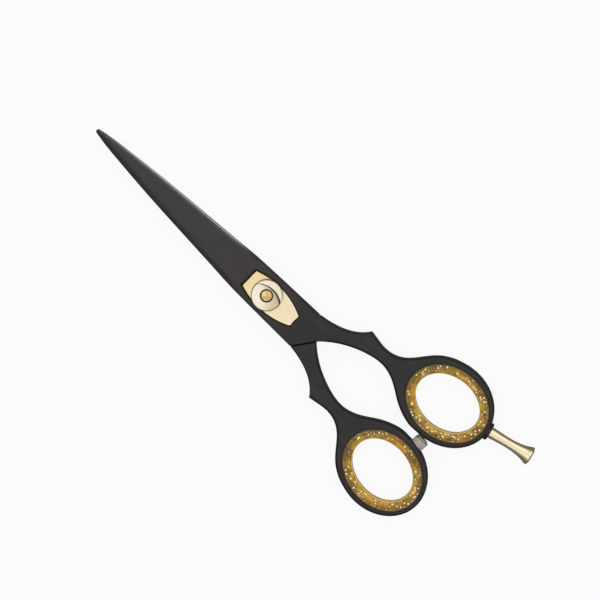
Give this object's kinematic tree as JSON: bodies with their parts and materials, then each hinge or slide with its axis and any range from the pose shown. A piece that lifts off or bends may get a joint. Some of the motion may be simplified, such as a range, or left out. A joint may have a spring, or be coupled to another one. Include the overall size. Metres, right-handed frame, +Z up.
{
  "type": "hair cutting shears",
  "caption": "Coated hair cutting shears with slim pointed blades, a tension dial on the pivot, oval rings with soft inserts, a screwed-in finger rest and a soft bumper between the rings.",
  "frame": {"origin": "on the pivot axis, at the flat underside of the pivot stud's head, which lies on the same surface as the rings", "axes": "+X from the pivot towards the finger rings, +Y towards the finger ring, +Z up through the tension dial"},
  "size_m": [0.1539, 0.0508, 0.0083],
  "materials": {
    "black_coat": "satin black coating, bare ground steel on the inner faces and cutting edges",
    "gold_polish": "polished pale gold plating",
    "gold_satin": "satin pale gold plating",
    "glitter_resin": "clear amber plastic with gold glitter flakes",
    "clear_silicone": "cloudy clear silicone",
    "nylon": "natural nylon",
    "slip_plastic": "white low friction plastic",
    "plain_steel": "ground"
  },
  "bodies": {
    "finger_half": {"finger_blade": "black_coat", "finger_ring_insert": "glitter_resin", "pivot_stud": "gold_polish", "spring_plate": "gold_satin", "dial_keeper": "gold_satin", "dial_washer": "plain_steel"},
    "thumb_half": {"thumb_blade": "black_coat", "thumb_ring_insert": "glitter_resin", "ring_bumper": "clear_silicone", "pivot_bush": "nylon", "blade_washer": "slip_plastic", "thrust_washer": "slip_plastic"},
    "dial": {"tension_dial": "gold_polish"},
    "rest": {"finger_rest": "gold_polish"}
  },
  "joints": [
    {"name": "blade_pivot", "type": "hinge", "parent": "finger_half", "child": "thumb_half", "pos_m": [0, 0, 0.003], "axis": [0, 0, -1], "range_deg": [0, 60]},
    {"name": "dial_turn", "type": "hinge", "parent": "finger_half", "child": "dial", "pos_m": [0, 0, 0.007], "axis": [0, 0, 1], "range_deg": [-90, 270]},
    {"name": "rest_turn", "type": "hinge", "parent": "finger_half", "child": "rest", "pos_m": [0.07297, 0.01567, 0.003], "axis": [0.974, 0.2267, 0], "range_deg": [0, 360]}
  ]
}
